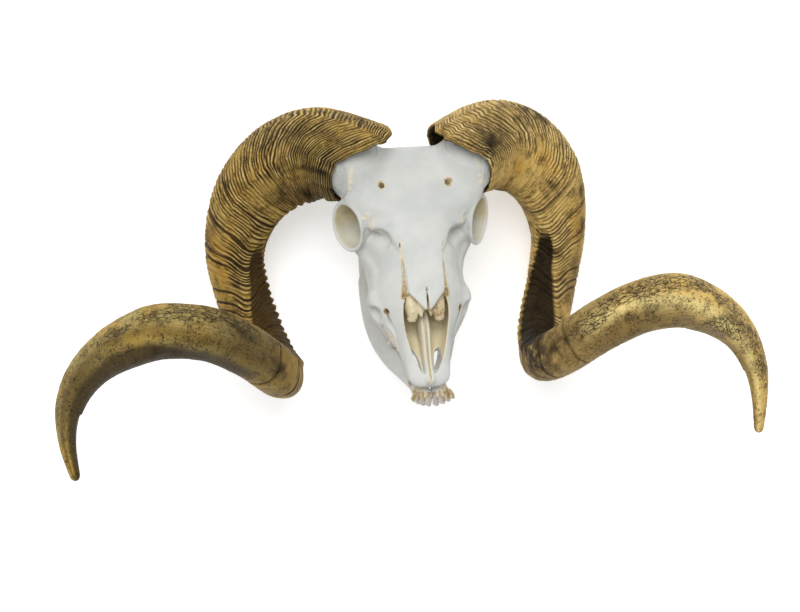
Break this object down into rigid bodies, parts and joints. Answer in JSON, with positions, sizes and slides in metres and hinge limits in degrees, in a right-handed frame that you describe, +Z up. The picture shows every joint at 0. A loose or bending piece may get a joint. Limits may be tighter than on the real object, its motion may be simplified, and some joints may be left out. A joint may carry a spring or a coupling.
{
  "type": "ram skull",
  "caption": "Bleached ram skull with its lower jaw and large spiral horn sheaths, lying back on its horns with the face up.",
  "frame": {"origin": "on the floor, under the middle of the skull's bounding box", "axes": "+X to the animal's left, across the horn tips; the nose points to -Y; +Z up from the floor"},
  "size_m": [0.6742, 0.309, 0.1952],
  "materials": {
    "bone": "matte",
    "horn": "satin"
  },
  "bodies": {
    "root": {"cranium": "bone", "mandible_left": "bone", "mandible_right": "bone", "horn_left_base": "horn", "horn_left_middle": "horn", "horn_left_tip": "horn", "horn_right_base": "horn", "horn_right_middle": "horn", "horn_right_tip": "horn"}
  },
  "joints": []
}
